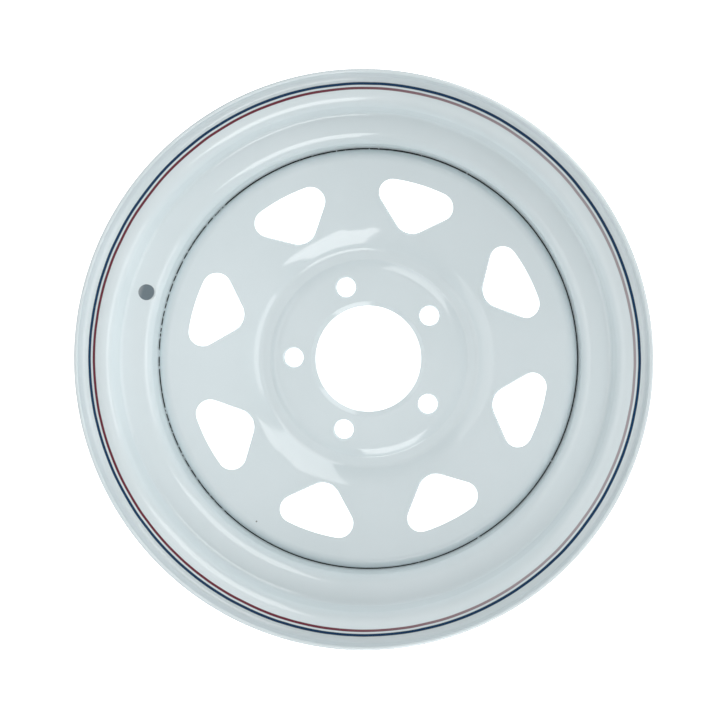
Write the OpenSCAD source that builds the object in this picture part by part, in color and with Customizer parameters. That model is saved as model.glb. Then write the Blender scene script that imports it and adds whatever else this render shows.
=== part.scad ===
// Steel trailer wheel: a rolled drop-centre rim with a pressed, windowed disc welded into its well.
// Z is the wheel's axis and the outboard face looks up. The origin is on the axis, in the plane of
// the disc's mounting face. Both pieces are sheets of constant thickness, bent along a section path.

/* [Rim] */
// Diameter of the bead seat, measured at the flange
bead_seat_d = 354.8; // [345:0.1:385]
// Width between the two flanges
rim_w = 139.7; // [127:0.1:165]
// How far the rim's middle plane lies inboard of the mounting face
wheel_offset = 0; // [-6:0.5:6]
// Thickness of the rim sheet
rim_t = 2.6; // [2:0.1:3.4]
// Height of the flange above the bead seat
flange_h = 17.3; // [16.5:0.1:20]
// Reach of the flange lip beyond the flange face
lip_w = 13; // [11.5:0.1:16]
// Tyre side radius of the curled flange
flange_r = 6; // [5:0.1:9]
// Tyre side radius between flange and bead seat
bead_r = 6.5; // [4:0.1:7.5]
// Taper of the bead seat, in degrees
seat_taper = 5; // [3:0.5:8]
// Depth of the well below the bead seat
well_depth = 19.8; // [18:0.1:24]
// Width of the bead seat, from the flange face to the bend into the well's wall
bead_seat_w = 14.5; // [12:0.1:18]
// Lean of the well's walls from square, in degrees
wall_lean = 25; // [18:1:32]
// Air side radius between bead seat and well wall
ledge_r = 3.5; // [3:0.5:8]
// Tyre side radius at the foot of the well wall
well_r = 7.5; // [4:0.5:9]

/* [Valve hole] */
// Diameter of the valve hole
valve_d = 11.5; // [8:0.1:16]
// Height of the valve hole's middle above the well's bottom
valve_h = 8.6; // [8:0.1:11]
// Direction of the valve hole round the axis, in degrees
valve_dir = 162.6; // [0:0.1:360]

/* [Disc] */
// Thickness of the disc sheet
disc_t = 4.2; // [3:0.1:5]
// Radial gap between the disc's flange and the well
seat_gap = 0.05; // [0:0.01:0.2]
// Diameter of the hub bore
bore_d = 81.1; // [60:0.1:90]
// Width of the bevel on the bore's outboard edge
bore_bevel_w = 3.2; // [0.5:0.1:4.5]
// Lean of that bevel, in degrees
bore_bevel_lean = 25; // [10:1:35]
// Outer radius of the flat mounting pad
pad_r = 66; // [65.6:0.1:70]
// Outboard radius of the pad's outer edge
pad_edge_r = 17.5; // [8:0.5:20]
// Lean of the pad's outer edge, in degrees
pad_edge_lean = 30; // [15:1:40]
// Outboard radius of the fillet from the pad's edge into the moat
pad_foot_r = 3.2; // [2:0.1:6]
// Outboard radius of the fillet from the moat into the rise
moat_r = 6; // [3:0.5:9]
// Width of the moat's flat floor
moat_w = 4.6; // [1:0.1:6]
// Lean where the disc rises out of the moat, in degrees
rise_lean = 43; // [30:1:50]
// Outboard radius of the blend from the rise into the cone
rise_r = 37; // [25:1:45]
// Lean of the coned spoke face, in degrees
cone_lean = 21; // [12:1:26]
// Outboard radius of the shoulder
shoulder_r = 7; // [6:0.5:10]
// Length of the straight flange that sits in the well
seat_l = 26; // [18:0.5:32]

/* [Lug holes] */
// Number of lug holes
lug_count = 5; // [4:1:6]
// Diameter of the circle through the lug holes
lug_pcd = 114.3; // [108:0.1:116]
// Diameter of a lug hole
lug_d = 14.9; // [12:0.1:17]
// Width of the cone that seats the lug nut
lug_seat_w = 0.9; // [0.4:0.1:1.2]
// Lean of the nut's seat from the hole's axis, in degrees
lug_seat_lean = 30; // [30:1:45]
// Direction of the first lug hole, in degrees
lug_dir = 35; // [0:1:72]

/* [Windows] */
// Number of windows
window_count = 8; // [6:1:8]
// Radius from the axis to the outer edge of the windows
window_out_r = 134; // [128:0.5:137]
// Height of a window along the cone
window_h = 38.2; // [28:0.2:40]
// Width of a window
window_w = 56.8; // [44:0.2:62]
// Radius of the two outer corners
window_corner_r = 10.6; // [7:0.2:12]
// Radius of the inner corner
window_apex_r = 13.3; // [9:0.1:15]
// Radius of the bowed outer edge
window_edge_r = 143; // [100:1:300]
// Direction of the first window, in degrees
window_dir = 27.4; // [0:0.1:45]

/* [Welds] */
// Number of weld runs
weld_count = 8; // [4:1:12]
// Leg length of the fillet weld
weld_leg = 3.8; // [2.5:0.1:4.5]
// Sweep of one weld run round the axis, in degrees
weld_sweep = 22; // [10:1:26]

/* [Hidden] */
$fn = 120;
paint_white = [0.93, 0.95, 0.96];
// Largest turn between two neighbouring points of a round stretch, in degrees, and the fewest steps
arc_step = 7.5;
arc_steps_min = 6;

// Unit vector along a heading in the section plane, where X is the radius and Y the axis
function along(heading) = [cos(heading), sin(heading)];

// Unit vector to the left of a heading
function left_of(heading) = [-sin(heading), cos(heading)];

// The same list from its end to its start
function backwards(list) = [for (i = [len(list) - 1:-1:0]) list[i]];

// Points along an arc, with its first and last point left out where a neighbour already has them
function arc(centre, r, from, turn, skip_first = 0, skip_last = 0) =
    let (steps = max(arc_steps_min, ceil(abs(turn)/arc_step)))
    [for (i = [skip_first:steps - skip_last]) centre + r*along(from + turn*i/steps)];

// A bent sheet is a list of moves [straight length, turn, radius of the bend's middle line].
// Way from the start to the end of a bend, along the middle line
function bend_way(heading, turn, mid_r) = sign(turn)*mid_r*(left_of(heading) - left_of(heading + turn));

// Place and heading at the end of a sheet's middle line
function sheet_end(place, heading, moves, i = 0) =
    i == len(moves) ? [place, heading] :
    let (turn = moves[i][1],
         bend_end = place + moves[i][0]*along(heading) + bend_way(heading, turn, moves[i][2]))
    sheet_end(bend_end, heading + turn, moves, i + 1);

// Points along one face of a sheet, which lies to the left of the middle line by shift
function sheet_face(place, heading, moves, shift, i = 0) =
    i == len(moves) ? [place + shift*left_of(heading)] :
    let (turn = moves[i][1],
         mid_r = moves[i][2],
         bend_start = place + moves[i][0]*along(heading),
         centre = bend_start + sign(turn)*mid_r*left_of(heading),
         face_r = mid_r - sign(turn)*shift,
         straight = moves[i][0] > 0 ? [place + shift*left_of(heading)] : [],
         bend = turn == 0 ? [] : arc(centre, face_r, heading - sign(turn)*90, turn, skip_last = 1),
         bend_end = bend_start + bend_way(heading, turn, mid_r))
    concat(straight, bend, sheet_face(bend_end, heading + turn, moves, shift, i + 1));

// Rim path, from the outboard lip over flange, bead seat, ledge and well to the inboard lip
lip_r = bead_seat_d/2 + flange_h;
lip_z = rim_w/2 + lip_w;
well_air_r = bead_seat_d/2 - well_depth - rim_t;
lip_l = lip_w - flange_r - rim_t/2;
curl_mid_r = flange_r - rim_t/2;
face_l = flange_h - flange_r - bead_r*tan((90 - seat_taper)/2);
bead_turn = 90 - seat_taper;
bead_mid_r = bead_r + rim_t/2;
rim_start = [lip_r - rim_t/2, lip_z - rim_t/2];
flange_moves = [[lip_l, -90, curl_mid_r], [face_l, bead_turn, bead_mid_r]];
seat_start = sheet_end(rim_start, -90, flange_moves);
seat_heading = seat_start[1];
ledge_turn = wall_lean + seat_taper - 90;
ledge_mid_r = ledge_r + rim_t/2;
wall_heading = seat_heading + ledge_turn;
wall_turn = 90 - wall_lean;
wall_mid_r = well_r + rim_t/2;
bead_seat_l = (seat_start[0][1] - rim_w/2 + bead_seat_w)/cos(seat_taper);
wall_start = sheet_end(seat_start[0], seat_heading, [[bead_seat_l, ledge_turn, ledge_mid_r]])[0];
foot_way = bend_way(wall_heading, wall_turn, wall_mid_r);
wall_l = (wall_start[0] + foot_way[0] - well_air_r - rim_t/2)/cos(wall_lean);
wall_foot = wall_start + wall_l*along(wall_heading);
well_w = 2*(wall_foot[1] + foot_way[1]);
rim_moves = concat(flange_moves, [
    [bead_seat_l, ledge_turn, ledge_mid_r],
    [wall_l, wall_turn, wall_mid_r],
    [well_w, wall_turn, wall_mid_r],
    [wall_l, ledge_turn, ledge_mid_r],
    [bead_seat_l, bead_turn, bead_mid_r],
    [face_l, -90, curl_mid_r],
    [lip_l, 0, 0]
]);
valve_place = wall_foot - along(wall_heading)*(well_air_r + valve_h - wall_foot[0])/cos(wall_lean);
valve_cut_l = 2*(rim_t + valve_d/2);

// Disc path, from the bore over pad, pad edge, moat, rise, cone and shoulder to the seat flange's end
bore_r = bore_d/2;
disc_seat_r = well_air_r - seat_gap;
bore_bevel_h = bore_bevel_w*tan(bore_bevel_lean);
pad_start = [bore_r + bore_bevel_w, disc_t/2];
dish_moves = [
    [pad_r - bore_r - bore_bevel_w, -pad_edge_lean, pad_edge_r - disc_t/2],
    [0, pad_edge_lean, pad_foot_r + disc_t/2],
    [moat_w, rise_lean, moat_r + disc_t/2],
    [0, cone_lean - rise_lean, rise_r - disc_t/2]
];
cone_start = sheet_end(pad_start, 0, dish_moves)[0];
shoulder_turn = -90 - cone_lean;
shoulder_mid_r = shoulder_r - disc_t/2;
shoulder_way = bend_way(cone_lean, shoulder_turn, shoulder_mid_r);
cone_l = (disc_seat_r - disc_t/2 - shoulder_way[0] - cone_start[0])/cos(cone_lean);
disc_moves = concat(dish_moves, [[cone_l, shoulder_turn, shoulder_mid_r], [seat_l, 0, 0]]);
disc_rear_z = sheet_end(pad_start, 0, disc_moves)[0][1];
lug_seat_depth = lug_seat_w/tan(lug_seat_lean);
lug_cut_l = 3*disc_t;

// Window outline in the plane of the cone, with X outward along the cone from the cone's start
window_out = (window_out_r - cone_start[0] + disc_t/2*sin(cone_lean))/cos(cone_lean);
window_cut_l = 6*disc_t;
edge_centre = [window_out - window_edge_r, 0];
corner_y = window_w/2 - window_corner_r;
corner_x = edge_centre[0] + sqrt((window_edge_r - window_corner_r)^2 - corner_y^2);
apex_centre = [window_out - window_h + window_apex_r, 0];
side_way = [corner_x, corner_y] - apex_centre;
edge_angle = atan2(corner_y, corner_x - edge_centre[0]);
side_angle = atan2(side_way[1], side_way[0]) + acos((window_apex_r - window_corner_r)/norm(side_way));

// Weld runs are drawn longer by this angle at each end, and then cut by a block that leans the same way
// to both legs and the run, so that both legs taper in alike
weld_spare = 2*weld_leg/well_air_r*180/PI;
weld_end_lean = 90 + atan(1/sqrt(2));
weld_cut = 10*weld_leg;

// Rim section: one sheet from lip to lip, with both ends rounded over
module rim_section() {
    tyre_face = sheet_face(rim_start, -90, rim_moves, rim_t/2);
    air_face = sheet_face(rim_start, -90, rim_moves, -rim_t/2);
    inboard_end = arc([rim_start[0], -rim_start[1]], rim_t/2, 0, -180, 1, 1);
    outboard_end = arc(rim_start, rim_t/2, 180, -180, 1, 1);
    polygon(concat(tyre_face, inboard_end, backwards(air_face), outboard_end));
}

// Rolled rim, the same on both sides, with the valve hole square to the outboard wall of the well
module rim() {
    color(paint_white) translate([0, 0, -wheel_offset]) difference() {
        rotate_extrude() rim_section();
        rotate([0, 0, valve_dir]) translate([valve_place[0], 0, valve_place[1]]) rotate([0, -wall_lean, 0])
            cylinder(h = valve_cut_l, d = valve_d, center = true);
    }
}

// Disc section: one sheet from bore to seat flange, with the bore's outboard edge bevelled
module disc_section() {
    outboard_face = sheet_face(pad_start, 0, disc_moves, disc_t/2);
    inboard_face = sheet_face(pad_start, 0, disc_moves, -disc_t/2);
    bore_edge = [[bore_r, 0], [bore_r, disc_t - bore_bevel_h]];
    polygon(concat(outboard_face, backwards(inboard_face), bore_edge));
}

// Window outline, a triangle with its point inward and every corner round
module window_outline() {
    corner_turn = side_angle - edge_angle;
    outer_edge = arc(edge_centre, window_edge_r, -edge_angle, 2*edge_angle, skip_last = 1);
    left_corner = arc([corner_x, corner_y], window_corner_r, edge_angle, corner_turn);
    apex = arc(apex_centre, window_apex_r, side_angle, 360 - 2*side_angle);
    right_corner = arc([corner_x, -corner_y], window_corner_r, -side_angle, corner_turn, skip_last = 1);
    polygon(concat(outer_edge, left_corner, apex, right_corner));
}

// Lug hole, with the cone that seats the nut at its outboard end
module lug_hole() {
    translate([0, 0, disc_t/2]) cylinder(h = lug_cut_l, d = lug_d, center = true);
    translate([0, 0, disc_t - lug_seat_depth])
        cylinder(h = 2*lug_seat_depth, d1 = lug_d, d2 = lug_d + 4*lug_seat_w);
}

// Pressed disc with its lug holes, and its windows pierced square to the cone
module wheel_disc() {
    color(paint_white) difference() {
        rotate_extrude() disc_section();
        for (i = [0:lug_count - 1]) {
            rotate([0, 0, lug_dir + 360*i/lug_count]) translate([lug_pcd/2, 0, 0]) lug_hole();
        }
        for (i = [0:window_count - 1]) {
            rotate([0, 0, window_dir + 360*i/window_count])
                translate([cone_start[0], 0, cone_start[1]]) rotate([0, -cone_lean, 0])
                    linear_extrude(height = window_cut_l, center = true) window_outline();
        }
    }
}

// Fillet weld run in the corner between the disc's rear edge and the well, with slanted ends
module weld_bead() {
    difference() {
        rotate([0, 0, -weld_sweep/2 - weld_spare]) rotate_extrude(angle = weld_sweep + 2*weld_spare)
            intersection() {
                translate([well_air_r, disc_rear_z]) circle(r = weld_leg);
                translate([well_air_r - weld_leg, disc_rear_z - weld_leg]) square(weld_leg);
            }
        for (end = [0, 1]) {
            mirror([0, end, 0]) rotate([0, 0, weld_sweep/2]) translate([well_air_r, 0, disc_rear_z])
                rotate([0, weld_end_lean, 135]) translate([-weld_cut/2, -weld_cut/2, 0]) cube(weld_cut);
        }
    }
}

// Weld runs, one behind each spoke
module weld_beads() {
    color("gainsboro") for (i = [0:weld_count - 1]) {
        rotate([0, 0, window_dir + 360*(i + 0.5)/weld_count]) weld_bead();
    }
}

rim();
wheel_disc();
weld_beads();
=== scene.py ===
import math

import bmesh
import bpy
from mathutils import Matrix, Vector


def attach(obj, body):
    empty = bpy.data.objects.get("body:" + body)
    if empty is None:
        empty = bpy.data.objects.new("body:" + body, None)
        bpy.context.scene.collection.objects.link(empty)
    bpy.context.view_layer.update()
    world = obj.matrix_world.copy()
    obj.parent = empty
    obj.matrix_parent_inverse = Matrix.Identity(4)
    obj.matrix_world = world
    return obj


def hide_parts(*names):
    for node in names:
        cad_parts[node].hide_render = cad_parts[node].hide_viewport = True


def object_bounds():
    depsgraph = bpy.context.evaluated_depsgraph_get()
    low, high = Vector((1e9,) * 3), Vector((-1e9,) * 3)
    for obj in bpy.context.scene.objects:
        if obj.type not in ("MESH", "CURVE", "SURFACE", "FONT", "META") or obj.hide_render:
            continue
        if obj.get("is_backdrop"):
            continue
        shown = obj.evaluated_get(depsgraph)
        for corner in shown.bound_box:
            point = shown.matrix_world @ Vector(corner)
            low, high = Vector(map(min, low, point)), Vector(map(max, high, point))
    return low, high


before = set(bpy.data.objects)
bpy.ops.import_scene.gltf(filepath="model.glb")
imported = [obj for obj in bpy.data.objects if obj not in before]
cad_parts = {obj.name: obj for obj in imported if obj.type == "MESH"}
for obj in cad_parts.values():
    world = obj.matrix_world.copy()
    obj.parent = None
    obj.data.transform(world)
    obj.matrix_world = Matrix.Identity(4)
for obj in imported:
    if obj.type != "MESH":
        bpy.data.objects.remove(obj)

cad_low, cad_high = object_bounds()


# Rim: a strip of 2.6 mm steel, rolled to a drop-centre section with two curled flanges and welded into
# a ring. It is drawn as the flat strip, pierced for the valve and then rolled, and is painted gloss white
# with a blue and a red stripe on the outboard flange's face.
MM = 0.001
rim_thick = 2.6
bead_seat_r = 177.4
flange_face_z = 69.85
flange_high = 17.3
lip_reach = 13.0
flange_bend = 6.0
bead_bend = 6.5
seat_taper = 5.0
bead_seat_wide = 14.5
well_r = 155.0
wall_lean = 25.0
ledge_bend = 3.5
well_bend = 7.5
valve_r = 5.75
valve_high = 8.6
valve_dir = 162.6
valve_patch = 8.0
lip_round = 1.25
hole_round = 0.35
rim_columns = 300


def along(heading):
    """Unit vector of a heading in the section plane: X is the radius, Y the wheel's axis."""
    return Vector((math.cos(math.radians(heading)), math.sin(math.radians(heading))))


def left_of(heading):
    return along(heading + 90)


def bend_way(heading, turn, middle_r):
    """Way from the start to the end of a bend, along the sheet's middle line."""
    return math.copysign(middle_r, turn)*(left_of(heading) - left_of(heading + turn))


def section_path(place, heading, moves):
    """Straights and bends of a sheet's middle line, from moves of (straight, turn, middle radius)."""
    stretches, run = [], 0.0
    place = Vector(place)
    for straight, turn, middle_r in moves:
        if straight:
            stretches.append((run, straight, place.copy(), heading, 0.0))
            run += straight
            place += straight*along(heading)
        if turn:
            length = middle_r*math.radians(abs(turn))
            stretches.append((run, length, place.copy(), heading, turn))
            run += length
            place += bend_way(heading, turn, middle_r)
            heading += turn
    return stretches, run


def on_path(stretches, run):
    """Place and left-hand normal at a length along the middle line."""
    for start, length, place, heading, turn in reversed(stretches):
        if run >= start - 1e-6:
            break
    share = (run - start)/length
    if not turn:
        return place + share*length*along(heading), left_of(heading)
    bend = bend_way(heading, turn*share, length/math.radians(abs(turn)))
    return place + bend, left_of(heading + turn*share)


def stations(stretches, bend_step, straight_step):
    """Lengths along the path at which the blank has a row of points."""
    rows = []
    for start, length, place, heading, turn in stretches:
        steps = math.ceil(abs(turn)/bend_step if turn else length/straight_step)
        rows += [start + length*i/steps for i in range(steps)]
    return rows + [stretches[-1][0] + stretches[-1][1]]


def resample(points, count):
    """The same closed outline with an even spacing of points."""
    ring = [Vector(p) for p in points] + [Vector(points[0])]
    ends = [0.0]
    for a, b in zip(ring, ring[1:]):
        ends.append(ends[-1] + (b - a).length)
    even, i = [], 0
    for k in range(count):
        want = ends[-1]*k/count
        while ends[i + 1] < want:
            i += 1
        even.append(ring[i].lerp(ring[i + 1], (want - ends[i])/(ends[i + 1] - ends[i])))
    return even


def pierce(blank, inside, outline, rings):
    """Cuts the faces that lie inside out of a flat blank and joins the hole's outline to the rest."""
    cut = {f for f in blank.faces if inside(f.calc_center_median())}
    edge = [e for f in cut for e in f.edges if sum(g in cut for g in e.link_faces) == 1]
    bmesh.ops.delete(blank, geom=list(cut), context="FACES")
    corners = [blank.verts.new(p) for p in resample(outline, len(edge))]
    hole = [blank.edges.new((a, b)) for a, b in zip(corners, corners[1:] + corners[:1])]
    made = bmesh.ops.bridge_loops(blank, edges=edge + hole)
    ends = set(corners)
    cross = [e for e in made["edges"] if (e.verts[0] in ends) != (e.verts[1] in ends)]
    bmesh.ops.subdivide_edges(blank, edges=cross, cuts=rings, use_grid_fill=False)


def thicken(blank, thick):
    """Gives a flat blank its thickness, half to each side."""
    bmesh.ops.recalc_face_normals(blank, faces=blank.faces)
    bmesh.ops.translate(blank, verts=blank.verts, vec=(0, 0, -thick/2))
    made = bmesh.ops.extrude_face_region(blank, geom=blank.faces[:], use_keep_orig=True)
    upper = [g for g in made["geom"] if isinstance(g, bmesh.types.BMVert)]
    bmesh.ops.translate(blank, verts=upper, vec=(0, 0, thick))


def round_edges(sheet, width, steps, chosen, least=55):
    """Rounds the edges of a formed sheet that bend by a least angle and whose middle is a chosen place."""
    sharp = [e for e in sheet.edges if len(e.link_faces) == 2 and e.calc_face_angle() > math.radians(least)]
    picked = [e for e in sharp if chosen((e.verts[0].co + e.verts[1].co)/2/MM)]
    bmesh.ops.bevel(sheet, geom=picked, offset=width*MM, affect="EDGES", segments=steps, profile=0.5,
                    material=-1)


def finish_piece(name, sheet, paint):
    """Turns a formed sheet into an object with smooth faces and true normals."""
    bmesh.ops.recalc_face_normals(sheet, faces=sheet.faces)
    for f in sheet.faces:
        f.smooth = True
    mesh = bpy.data.meshes.new(name)
    sheet.to_mesh(mesh)
    sheet.free()
    mesh.set_sharp_from_angle(angle=math.radians(50))
    mesh.materials.append(paint)
    piece = bpy.data.objects.new(name, mesh)
    bpy.context.scene.collection.objects.link(piece)
    normals = piece.modifiers.new("true_normals", "WEIGHTED_NORMAL")
    normals.keep_sharp = True
    return piece


half = rim_thick/2
lip = (bead_seat_r + flange_high - half, flange_face_z + lip_reach)
bead_turn = 90 - seat_taper
ledge_turn = wall_lean + seat_taper - 90
wall_turn = 90 - wall_lean
wall_heading = -90 - 90 + bead_turn + ledge_turn
flange_rise = flange_high - flange_bend - bead_bend*math.tan(math.radians(bead_turn/2))
flange_moves = [
    (lip_reach - flange_bend, -90, flange_bend - half),
    (flange_rise, bead_turn, bead_bend + half),
]
flange_path, flange_run = section_path(lip, -90, flange_moves)
seat_start, seat_normal = on_path(flange_path, flange_run)
bead_seat_long = (seat_start.y - flange_face_z + bead_seat_wide)/math.cos(math.radians(seat_taper))
seat_moves = flange_moves + [(bead_seat_long, ledge_turn, ledge_bend + half)]
ledge_path, ledge_run = section_path(lip, -90, seat_moves)
wall_start, wall_normal = on_path(ledge_path, ledge_run)
foot_way = bend_way(wall_heading, wall_turn, well_bend + half)
wall_long = (wall_start.x + foot_way.x - well_r - half)/math.cos(math.radians(wall_lean))
wall_foot = wall_start + wall_long*along(wall_heading)
well_wide = 2*(wall_foot.y + foot_way.y)
rim_moves = seat_moves + [
    (wall_long, wall_turn, well_bend + half),
    (well_wide, wall_turn, well_bend + half),
    (wall_long, ledge_turn, ledge_bend + half),
    (bead_seat_long, bead_turn, bead_bend + half),
    (flange_rise, -90, flange_bend - half),
    (lip_reach - flange_bend, 0, 0),
]
rim_path, rim_run = section_path(lip, -90, rim_moves)
foot_run = ledge_run + wall_long
valve_up = (well_r + valve_high - wall_foot.x)/math.cos(math.radians(wall_lean))
unroll_r = well_r + valve_high


def valve_point(turn):
    """Point of the valve hole's edge on the flat strip: the hole is drilled square to the well's wall."""
    up = valve_up + valve_r*math.cos(turn)
    run = foot_run - (up if up > 0 else (well_bend + half)*math.asin(up/(well_bend + half)))
    return (valve_r*math.sin(turn), run, 0)


rim_sheet = bmesh.new()
column = 2*math.pi*unroll_r/rim_columns
rows = [rim_sheet.verts.new((-math.pi*unroll_r, run, 0))
        for run in stations(rim_path, bend_step=6, straight_step=5)]
strip_end = [rim_sheet.edges.new(pair) for pair in zip(rows, rows[1:])]
bmesh.ops.spin(rim_sheet, geom=rows + strip_end, cent=(0, 0, 0), axis=(0, 0, 1), dvec=(column, 0, 0),
               angle=0, steps=rim_columns, use_merge=False, use_duplicate=False)
valve_run = foot_run - valve_up
pierce(rim_sheet, lambda c: abs(c.x) < 3*column and abs(c.y - valve_run) < valve_patch,
       [valve_point(2*math.pi*i/180) for i in range(180)], rings=4)
thicken(rim_sheet, rim_thick)
seam_x = math.pi*unroll_r - column/4
seam = [f for f in rim_sheet.faces if all(abs(v.co.x) > seam_x for v in f.verts)]
bmesh.ops.delete(rim_sheet, geom=seam, context="FACES_ONLY")
for v in rim_sheet.verts:
    place, normal = on_path(rim_path, v.co.y)
    place += v.co.z*normal
    turn = math.radians(valve_dir) + v.co.x/unroll_r
    v.co = Vector((place.x*math.cos(turn), place.x*math.sin(turn), place.y))*MM
bmesh.ops.remove_doubles(rim_sheet, verts=rim_sheet.verts, dist=0.01*MM)
bmesh.ops.recalc_face_normals(rim_sheet, faces=rim_sheet.faces)
round_edges(rim_sheet, lip_round, 4, lambda c: abs(c.z) > flange_face_z)
round_edges(rim_sheet, hole_round, 2, lambda c: abs(c.z) < flange_face_z)


def add(paint, kind, sockets, **settings):
    """A node in a paint's tree: each socket takes a value or another node's output."""
    made = paint.node_tree.nodes.new("ShaderNode" + kind)
    for name, value in settings.items():
        setattr(made, name, value)
    for socket, value in sockets.items():
        if isinstance(value, bpy.types.NodeSocket):
            paint.node_tree.links.new(value, made.inputs[socket])
        else:
            made.inputs[socket].default_value = value
    return made.outputs[0]


def sums(paint, operation, a, b, c=0.0):
    return add(paint, "Math", {0: a, 1: b, 2: c}, operation=operation)


def ease(paint, value, start, end, low=0.0, high=1.0):
    """Smooth change from low to high while the value goes from start to end."""
    sockets = {"Value": value, "From Min": start, "From Max": end, "To Min": low, "To Max": high}
    return add(paint, "MapRange", sockets, interpolation_type="SMOOTHSTEP")


def coat(paint, share, colour, under):
    """Colour of one coat over another."""
    made = paint.node_tree.nodes.new("ShaderNodeMix")
    made.data_type = "RGBA"
    paint.node_tree.links.new(share, made.inputs["Factor"])
    paint.node_tree.links.new(under, made.inputs[6])
    made.inputs[7].default_value = (*colour, 1)
    return made.outputs[2]


def grain(paint, place, size, detail):
    """Even noise with grains of about the given size in metres."""
    return add(paint, "TexNoise", {"Vector": place, "Scale": 1/size, "Detail": detail}, normalize=True)


def gloss_paint(name, thin, full, peel):
    """Gloss paint: a faint unevenness of tone and gloss and a fine orange peel on the surface."""
    paint = bpy.data.materials.new(name)
    paint.use_nodes = True
    spots = paint.node_tree.nodes.new("ShaderNodeTexCoord").outputs["Object"]
    tone = add(paint, "MapRange", {"Value": grain(paint, spots, 0.06, 4), "From Min": 0.3, "From Max": 0.7})
    ramp = paint.node_tree.nodes.new("ShaderNodeValToRGB")
    ramp.color_ramp.elements[0].color = (*thin, 1)
    ramp.color_ramp.elements[1].color = (*full, 1)
    paint.node_tree.links.new(tone, ramp.inputs["Fac"])
    shader = paint.node_tree.nodes["Principled BSDF"]
    gloss = ease(paint, grain(paint, spots, 0.03, 3), 0.3, 0.7, 0.05, 0.09)
    paint.node_tree.links.new(gloss, shader.inputs["Roughness"])
    shader.inputs["Specular IOR Level"].default_value = 0.6
    orange_peel = grain(paint, spots, 0.0024, 2)
    skin = add(paint, "Bump", {"Height": orange_peel, "Strength": peel, "Distance": 0.0002})
    paint.node_tree.links.new(skin, shader.inputs["Normal"])
    return paint, shader, spots, ramp.outputs["Color"]


def axis_distance(paint, spots):
    """Distance from the wheel's axis."""
    flat = add(paint, "VectorMath", {0: spots, 1: (1, 1, 0)}, operation="MULTIPLY")
    made = paint.node_tree.nodes.new("ShaderNodeVectorMath")
    made.operation = "LENGTH"
    paint.node_tree.links.new(flat, made.inputs[0])
    return made.outputs["Value"]


def split(paint, spots):
    """The three coordinates of a place."""
    made = paint.node_tree.nodes.new("ShaderNodeSeparateXYZ")
    paint.node_tree.links.new(spots, made.inputs[0])
    return made.outputs


def open_gap_shade(paint, spots, x, out):
    """Share of painted shade in the joint of rim and disc: high where the gap is open and painted dark as
    shade, low where paint bridges it, which it does in places, mostly on the left.
    """
    side = sums(paint, "DIVIDE", x, out)
    bridged = ease(paint, side, -0.45, -0.8, 0.70, 0.57)
    left_open = sums(paint, "SUBTRACT", bridged, grain(paint, spots, 0.0038, 1))
    return ease(paint, left_open, -0.04, 0.0, 0.05, 1)


white_thin = (0.745, 0.828, 0.850)
white_full = (0.775, 0.853, 0.877)
paint_peel = 0.03
stripe_edge = 0.35
stripe_sway = 0.5
blue_r = 187.8
blue_wide = 1.9
blue = (0.005, 0.042, 0.110)
blue_cover = 1.0
red_r = 184.7
red_wide = 1.75
red = (0.165, 0.026, 0.045)
red_cover = 0.6
joint_r = 155.0
joint_foot = (18.0, 20.0)
joint_top = (23.5, 21.5)
# Near-black colour of painted shade in the deep gap between the disc's shoulder and the rim's well.
painted_gap_shade = (0.012, 0.014, 0.015)

rim_paint, shader, spots, colour = gloss_paint("rim_paint", white_thin, white_full, paint_peel)
x, y, z = split(rim_paint, spots)
out = axis_distance(rim_paint, spots)
sway = sums(rim_paint, "MULTIPLY_ADD", grain(rim_paint, spots, 0.02, 1), stripe_sway*MM, out)
on_face = ease(rim_paint, z, (flange_face_z - 2)*MM, (flange_face_z - 1)*MM)
stripes = ((blue_r, blue_wide, blue, blue_cover), (red_r, red_wide, red, red_cover))
for stripe_r, stripe_wide, stripe, cover in stripes:
    off = sums(rim_paint, "SUBTRACT", sway, (stripe_r + stripe_sway/2)*MM)
    off = sums(rim_paint, "ABSOLUTE", off, 0)
    band = ease(rim_paint, off, (stripe_wide + stripe_edge)/2*MM, (stripe_wide - stripe_edge)/2*MM)
    worn = ease(rim_paint, x, -0.05, 0.15, 1, cover)
    share = sums(rim_paint, "MULTIPLY", sums(rim_paint, "MULTIPLY", band, worn), on_face)
    colour = coat(rim_paint, share, stripe, colour)
# Painted shade: the rim's well wall next to the joint is painted near-black where the gap is open, for the
# shade deep in the groove.
corner = ease(rim_paint, out, (joint_r + 0.3)*MM, (joint_r + 0.05)*MM)
over_foot = ease(rim_paint, z, joint_foot[0]*MM, joint_foot[1]*MM)
under_top = ease(rim_paint, z, joint_top[0]*MM, joint_top[1]*MM)
corner = sums(rim_paint, "MULTIPLY", corner, sums(rim_paint, "MULTIPLY", over_foot, under_top))
corner = sums(rim_paint, "MULTIPLY", corner, open_gap_shade(rim_paint, spots, x, out))
colour = coat(rim_paint, corner, painted_gap_shade, colour)
rim_paint.node_tree.links.new(colour, shader.inputs["Base Color"])

rim = finish_piece("rim_band", rim_sheet, rim_paint)
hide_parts("rim")
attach(rim, "root")


# Disc: a round blank of 4.2 mm steel, pierced for bore, lugs and windows and then pressed to a dish with
# a flat pad, a moat, a coned spoke face and a turned-down flange. It sits in the rim's well.
disc_thick = 4.2
bore_r = 40.55
bore_bevel_wide = 3.2
bore_bevel_lean = 25.0
pad_r = 66.0
pad_edge_bend = 17.5
pad_edge_lean = 30.0
pad_foot_bend = 3.2
moat_bend = 6.0
moat_wide = 4.6
rise_lean = 43.0
rise_bend = 37.0
cone_lean = 21.0
shoulder_bend = 7.0
seat_long = 26.0
seat_gap = 0.05
lug_count = 5
lug_circle_r = 57.15
lug_r = 7.45
lug_seat_wide = 0.9
lug_seat_deep = lug_seat_wide/math.tan(math.radians(30))
lug_dir = 35.0
window_count = 8
window_out_r = 134.0
window_high = 38.2
window_wide = 56.8
window_corner = 10.6
window_apex = 13.3
window_edge = 143.0
window_dir = 27.4
window_patch = 20.2
window_patch_shift = 6.0
lug_patch = 14.0
lug_patch_from = 46.0
crest_round = 0.3
bore_round = 0.2
window_round = 0.3
flange_round = 0.4
disc_columns = 240

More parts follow.
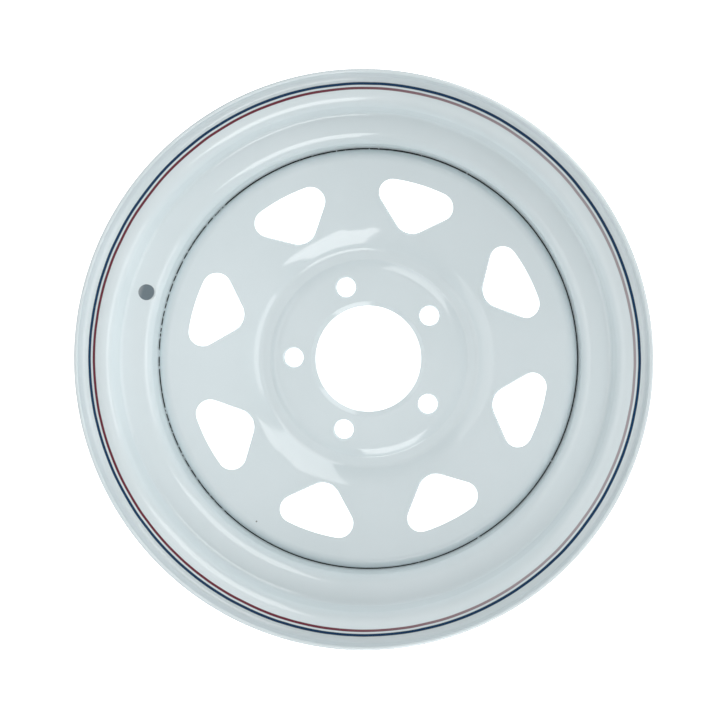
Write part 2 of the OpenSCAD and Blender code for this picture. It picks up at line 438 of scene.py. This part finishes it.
half = disc_thick/2
dish_moves = [
    (bore_bevel_wide, 0, 0),
    (pad_r - bore_r - bore_bevel_wide, -pad_edge_lean, pad_edge_bend - half),
    (0, pad_edge_lean, pad_foot_bend + half),
    (moat_wide, rise_lean, moat_bend + half),
    (0, cone_lean - rise_lean, rise_bend - half),
]
dish_path, dish_run = section_path((bore_r, half), 0, dish_moves)
cone_start, cone_normal = on_path(dish_path, dish_run)
shoulder_turn = -90 - cone_lean
shoulder_way = bend_way(cone_lean, shoulder_turn, shoulder_bend - half)
cone_long = (well_r - seat_gap - half - shoulder_way.x - cone_start.x)/math.cos(math.radians(cone_lean))
disc_moves = dish_moves + [(cone_long, shoulder_turn, shoulder_bend - half), (seat_long, 0, 0)]
disc_path, disc_run = section_path((bore_r, half), 0, disc_moves)


def arc(centre, r, start, turn, count=24):
    """Points along an arc in the plane of a window."""
    return [Vector(centre) + r*along(start + turn*i/count) for i in range(count + 1)]


def window_outline():
    """Rounded triangle in the plane of the cone, X outward from the cone's start, as it is pierced."""
    lean = math.radians(cone_lean)
    out = (window_out_r - cone_start.x + half*math.sin(lean))/math.cos(lean)
    edge = Vector((out - window_edge, 0))
    corner_y = window_wide/2 - window_corner
    corner = Vector((edge.x + math.sqrt((window_edge - window_corner)**2 - corner_y**2), corner_y))
    apex = Vector((out - window_high + window_apex, 0))
    side = corner - apex
    edge_turn = math.degrees(math.atan2(corner_y, corner.x - edge.x))
    touch = math.acos((window_apex - window_corner)/side.length)
    side_turn = math.degrees(math.atan2(side.y, side.x) + touch)
    sweep = side_turn - edge_turn
    return (arc(edge, window_edge, -edge_turn, 2*edge_turn)[:-1]
            + arc(corner, window_corner, edge_turn, sweep)
            + arc(apex, window_apex, side_turn, 360 - 2*side_turn)
            + arc((corner.x, -corner.y), window_corner, -side_turn, sweep)[:-1])


def on_blank(flat, turn):
    """Where a point of the window's plane lies on the round blank, once the plane is laid on the cone."""
    lean = math.radians(cone_lean)
    up = 0.0
    for i in range(20):
        x = cone_start.x + flat.x*math.cos(lean) - up*math.sin(lean)
        z = flat.x*math.sin(lean) + up*math.cos(lean)
        r = math.hypot(x, flat.y)
        up -= (z - (r - cone_start.x)*math.tan(lean))*math.cos(lean)
    blank_r = bore_r + dish_run + (r - cone_start.x)/math.cos(lean)
    turn = math.radians(turn) + math.atan2(flat.y, x)
    return (blank_r*math.cos(turn), blank_r*math.sin(turn), 0)


def in_sector(c, turn, spread, low, high):
    """Whether a point of the round blank lies in a sector."""
    off = (math.degrees(math.atan2(c.y, c.x)) - turn + 180) % 360 - 180
    return abs(off) < spread and low < math.hypot(c.x, c.y) < high


disc_sheet = bmesh.new()
first = math.radians(window_dir - 180/window_count)
rows = [disc_sheet.verts.new(((bore_r + run)*math.cos(first), (bore_r + run)*math.sin(first), 0))
        for run in stations(disc_path, bend_step=5, straight_step=3)]
spoke = [disc_sheet.edges.new(pair) for pair in zip(rows, rows[1:])]
bmesh.ops.spin(disc_sheet, geom=rows + spoke, cent=(0, 0, 0), axis=(0, 0, 1), angle=2*math.pi,
               steps=disc_columns, use_merge=True, use_duplicate=False)
bmesh.ops.remove_doubles(disc_sheet, verts=disc_sheet.verts, dist=0.01)
patch_from = bore_r + dish_run - window_patch_shift
patch_to = patch_from + cone_long
outline = window_outline()
for i in range(window_count):
    turn = window_dir + 360*i/window_count
    pierce(disc_sheet, lambda c: in_sector(c, turn, window_patch, patch_from, patch_to),
           [on_blank(p, turn) for p in outline], rings=3)
for i in range(lug_count):
    turn = lug_dir + 360*i/lug_count
    centre = lug_circle_r*along(turn)
    pierce(disc_sheet, lambda c: in_sector(c, turn, lug_patch, lug_patch_from, pad_r + 1),
           [(*(centre + (lug_r + lug_seat_wide)*along(360*k/96)), 0) for k in range(96)], rings=2)
thicken(disc_sheet, disc_thick)
walls = [e for e in disc_sheet.edges
         if abs(e.verts[0].co.z - e.verts[1].co.z) > half and bore_r + 1 < e.verts[0].co.xy.length < pad_r]
bmesh.ops.subdivide_edges(disc_sheet, edges=walls, cuts=1)
for i in range(lug_count):
    centre = lug_circle_r*along(lug_dir + 360*i/lug_count)
    for v in disc_sheet.verts:
        out = v.co.xy - centre
        if out.length < lug_r + lug_seat_wide + 0.1 and v.co.z < half - 0.1:
            out *= lug_r/out.length
            v.co = (*(centre + out), max(v.co.z, half - lug_seat_deep) if v.co.z > -half + 0.1 else v.co.z)
for v in disc_sheet.verts:
    run = max(0.0, v.co.xy.length - bore_r)
    place, normal = on_path(disc_path, run)
    bevel = max(0.0, bore_bevel_wide - run)*math.tan(math.radians(bore_bevel_lean)) if v.co.z > 0 else 0.0
    place += (v.co.z - bevel)*normal
    turn = math.atan2(v.co.y, v.co.x)
    v.co = Vector((place.x*math.cos(turn), place.x*math.sin(turn), place.y))*MM
bmesh.ops.remove_doubles(disc_sheet, verts=disc_sheet.verts, dist=0.01*MM)
bmesh.ops.recalc_face_normals(disc_sheet, faces=disc_sheet.faces)
# Rounded edges, in turn: the bore's crest, the bore's outboard edge, the windows, the seat flange's end.
crest_r = bore_r + bore_bevel_wide
round_edges(disc_sheet, crest_round, 2, lambda c: abs(c.xy.length - crest_r) < 0.1 and c.z > half, least=15)
round_edges(disc_sheet, bore_round, 2, lambda c: c.xy.length < bore_r + 0.1 and c.z > 0.5)
round_edges(disc_sheet, window_round, 2, lambda c: 90 < c.xy.length < 145)
round_edges(disc_sheet, flange_round, 2, lambda c: c.xy.length > 149 and c.z < 0)

gap_wide = 0.35
gap_shift = 0.7
gap_soft = 0.25
gap_top = (28.0, 26.5)
specks = (((-80.8, -120.0, 28.9), 0.75, 0.75), ((-46.4, -66.2, 1.8), 0.55, 0.2))
speck_dark = (0.05, 0.05, 0.05)

disc_paint, shader, spots, colour = gloss_paint("disc_paint", white_thin, white_full, paint_peel)
x, y, z = split(disc_paint, spots)
out = axis_distance(disc_paint, spots)
# Painted shade: a near-black band on the disc's shoulder at the joint, wider at the top, where the gap is
# open.
gap_start = sums(disc_paint, "MULTIPLY_ADD", y, -gap_shift/joint_r, (joint_r - gap_wide - 0.3)*MM)
gap_start = sums(disc_paint, "MULTIPLY_ADD", grain(disc_paint, spots, 0.006, 2), 0.5*MM, gap_start)
into = sums(disc_paint, "SUBTRACT", out, gap_start)
gap_shade = ease(disc_paint, into, -gap_soft*MM, gap_soft*MM)
low = ease(disc_paint, z, gap_top[0]*MM, gap_top[1]*MM)
gap_shade = sums(disc_paint, "MULTIPLY", gap_shade, open_gap_shade(disc_paint, spots, x, out))
gap_shade = sums(disc_paint, "MULTIPLY", gap_shade, low)
colour = coat(disc_paint, gap_shade, painted_gap_shade, colour)
for middle, speck_r, cover in specks:
    made = disc_paint.node_tree.nodes.new("ShaderNodeVectorMath")
    made.operation = "DISTANCE"
    disc_paint.node_tree.links.new(spots, made.inputs[0])
    made.inputs[1].default_value = Vector(middle)*MM
    share = ease(disc_paint, made.outputs["Value"], speck_r*MM, 0.6*speck_r*MM, 0, cover)
    colour = coat(disc_paint, share, speck_dark, colour)
disc_paint.node_tree.links.new(colour, shader.inputs["Base Color"])

disc = finish_piece("pressed_disc", disc_sheet, disc_paint)
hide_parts("wheel_disc")
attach(disc, "root")


# Joint line: paint that has run into the narrow gap between the disc's shoulder and the rim's well and
# dried there. It bridges the gap in places; in the rest the ring is painted near-black, as painted shade of
# the deep open gap.
joint_up = 3.0
joint_deep = 0.8
joint_clear = 0.02
joint_steps = 300
shoulder_end, seat_side = on_path(disc_path, disc_run - seat_long)


def shoulder_edge(up):
    """Radius of the shoulder's outer face at a height above the seat flange's start."""
    return shoulder_end.x + half - shoulder_bend + math.sqrt(shoulder_bend**2 - up**2)


joint_low = joint_up - joint_deep
joint_out = joint_r - joint_clear
corners = ((shoulder_edge(joint_up) + joint_clear, joint_up), (joint_out, joint_up),
           (joint_out, joint_low), (shoulder_edge(joint_low) + joint_clear, joint_low))
joint_sheet = bmesh.new()
section = [joint_sheet.verts.new(Vector((r, 0, shoulder_end.y + up))*MM) for r, up in corners]
outline = [joint_sheet.edges.new(pair) for pair in zip(section, section[1:] + section[:1])]
bmesh.ops.spin(joint_sheet, geom=section + outline, cent=(0, 0, 0), axis=(0, 0, 1), angle=2*math.pi,
               steps=joint_steps, use_merge=True, use_duplicate=False)
bmesh.ops.remove_doubles(joint_sheet, verts=joint_sheet.verts, dist=0.005*MM)

joint_paint_and_shade, shader, spots, colour = gloss_paint("joint_paint_and_shade", white_thin, white_full, paint_peel)
x, y, z = split(joint_paint_and_shade, spots)
out = axis_distance(joint_paint_and_shade, spots)
# Painted shade: the ring is near-black wherever the gap is left open.
colour = coat(joint_paint_and_shade, open_gap_shade(joint_paint_and_shade, spots, x, out), painted_gap_shade, colour)
joint_paint_and_shade.node_tree.links.new(colour, shader.inputs["Base Color"])

joint = finish_piece("joint_line", joint_sheet, joint_paint_and_shade)
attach(joint, "root")


# Weld runs: eight fillets of weld metal behind the spokes, where the disc's flange ends in the rim's
# well, painted over with the rest.
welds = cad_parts["weld_beads"]
ripple_long = 2.2
weld_peel = 0.3
weld_paint, shader, spots, colour = gloss_paint("weld_paint", white_thin, white_full, weld_peel)
x, y, z = split(weld_paint, spots)
turn = sums(weld_paint, "ARCTAN2", y, x)
wobble = sums(weld_paint, "MULTIPLY_ADD", grain(weld_paint, spots, 0.004, 2), 2.5, 0)
ripples = sums(weld_paint, "MULTIPLY_ADD", turn, 2*math.pi*well_r/ripple_long, wobble)
ripple = sums(weld_paint, "SINE", ripples, 0)
skin = add(weld_paint, "Bump", {"Height": ripple, "Strength": 0.6, "Distance": 0.0004})
weld_paint.node_tree.links.new(skin, shader.inputs["Normal"])
weld_paint.node_tree.links.new(colour, shader.inputs["Base Color"])
welds.data.materials.clear()
welds.data.materials.append(weld_paint)


# Studio: a pale floor with a painted shadow ring round the wheel's foot and a glowing middle under the
# wheel that lights it from below, an even white surround, two soft boxes that make the streaks on the
# paint, and a panel on each side. The camera stands where the original camera stood.
floor_z = cad_low.z
floor_size = 6
floor_tone = (0.8, 0.8, 0.8, 1)
shade_tone = (0.24, 0.30, 0.34, 1)
shade_in, shade_out = 0.165, 0.233
lip_in, lip_out = 0.19, 0.218
hole_glow = 0.7
surround_level = 0.295
floor_sheet = bmesh.new()
bmesh.ops.create_grid(floor_sheet, x_segments=1, y_segments=1, size=floor_size)
bmesh.ops.translate(floor_sheet, verts=floor_sheet.verts, vec=(0, 0, floor_z))
floor_mesh = bpy.data.meshes.new("floor")
floor_sheet.to_mesh(floor_mesh)
floor_sheet.free()
floor = bpy.data.objects.new("floor", floor_mesh)
bpy.context.scene.collection.objects.link(floor)
floor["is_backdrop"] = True
pale = bpy.data.materials.new("pale_floor")
pale.use_nodes = True
shader = pale.node_tree.nodes["Principled BSDF"]
shader.inputs["Roughness"].default_value = 0.9
shader.inputs["Emission Color"].default_value = (1, 1, 1, 1)
spots = pale.node_tree.nodes.new("ShaderNodeTexCoord").outputs["Object"]
out = axis_distance(pale, spots)
# Painted shadow: the floor's colour turns grey-blue in a ring under the rim's flange, a contact shadow
# round the wheel's foot.
tone = pale.node_tree.nodes.new("ShaderNodeValToRGB")
pale.node_tree.links.new(ease(pale, out, shade_in, shade_out), tone.inputs["Fac"])
pale.node_tree.links.new(tone.outputs["Color"], shader.inputs["Base Color"])
tones = tone.color_ramp.elements
tones[0].color = tones[1].color = floor_tone
for place in (0.3, 0.8):
    tones.new(place).color = shade_tone
# Painted light: inside the shadow ring the floor glows for every ray, not only for the camera, and lights
# the walls of the windows, bore and lug holes from below.
under_flange = ease(pale, out, shade_in, lip_in, 1, 0)
beyond = ease(pale, out, lip_out, shade_out, 0, 1)
seen = pale.node_tree.nodes.new("ShaderNodeLightPath").outputs["Is Camera Ray"]
through = sums(pale, "MULTIPLY", under_flange, ease(pale, seen, 0, 1, hole_glow, 1))
glow = sums(pale, "ADD", through, sums(pale, "MULTIPLY", beyond, seen))
pale.node_tree.links.new(glow, shader.inputs["Emission Strength"])
floor_mesh.materials.append(pale)

world = bpy.data.worlds.new("surround")
bpy.context.scene.world = world
world.use_nodes = True
nodes, links = world.node_tree.nodes, world.node_tree.links
sky = nodes["Background"]
sky.inputs["Color"].default_value = (1, 1, 1, 1)
path = nodes.new("ShaderNodeLightPath")
level = nodes.new("ShaderNodeMapRange")
links.new(path.outputs["Is Camera Ray"], level.inputs["Value"])
level.inputs["To Min"].default_value = surround_level
level.inputs["To Max"].default_value = 1.0
links.new(level.outputs["Result"], sky.inputs["Strength"])


def soft_light(name, turn, off_axis, distance, wide, high, level):
    """A soft box that looks at the wheel's middle from a direction round and off the axis."""
    lamp = bpy.data.lights.new(name, "AREA")
    lamp.shape = "RECTANGLE"
    lamp.size, lamp.size_y = wide, high
    lamp.energy = math.pi*wide*high*level
    light = bpy.data.objects.new(name, lamp)
    away = math.radians(off_axis)
    back = Vector((*(math.sin(away)*along(turn)), math.cos(away)))
    light.location = back*distance
    light.rotation_mode = "QUATERNION"
    light.rotation_quaternion = (-back).to_track_quat("-Z", "Y")
    bpy.context.scene.collection.objects.link(light)


soft_light("upper_box", turn=60, off_axis=49, distance=1.05, wide=0.62, high=0.85, level=2.5)
soft_light("lower_box", turn=279.3, off_axis=47.8, distance=0.86, wide=0.41, high=0.55, level=3.65)
soft_light("left_panel", turn=180, off_axis=62, distance=1.2, wide=1.4, high=0.95, level=1.0)
soft_light("right_panel", turn=350, off_axis=72, distance=1.2, wide=1.2, high=0.5, level=2.05)

picture = 720
focal = 834.23
centre_x, centre_y = 390.68, 355.02
camera = bpy.data.cameras.new("camera")
camera.sensor_width = 36
camera.lens = 36*focal/picture
camera.shift_x = (picture/2 - centre_x)/picture
camera.shift_y = (centre_y - picture/2)/picture
viewer = bpy.data.objects.new("camera", camera)
right = Vector((0.998260, -0.001091, -0.058949))
up = Vector((0.0, 0.999829, -0.018499))
stand = Matrix.Translation(Vector((54.88, 14.59, 637.7))*MM)
viewer.matrix_world = stand @ Matrix((right, up, right.cross(up))).transposed().to_4x4()
bpy.context.scene.collection.objects.link(viewer)
bpy.context.scene.camera = viewer

bpy.context.scene.view_settings.view_transform = "Standard"

bpy.context.view_layer.update()
low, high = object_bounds()
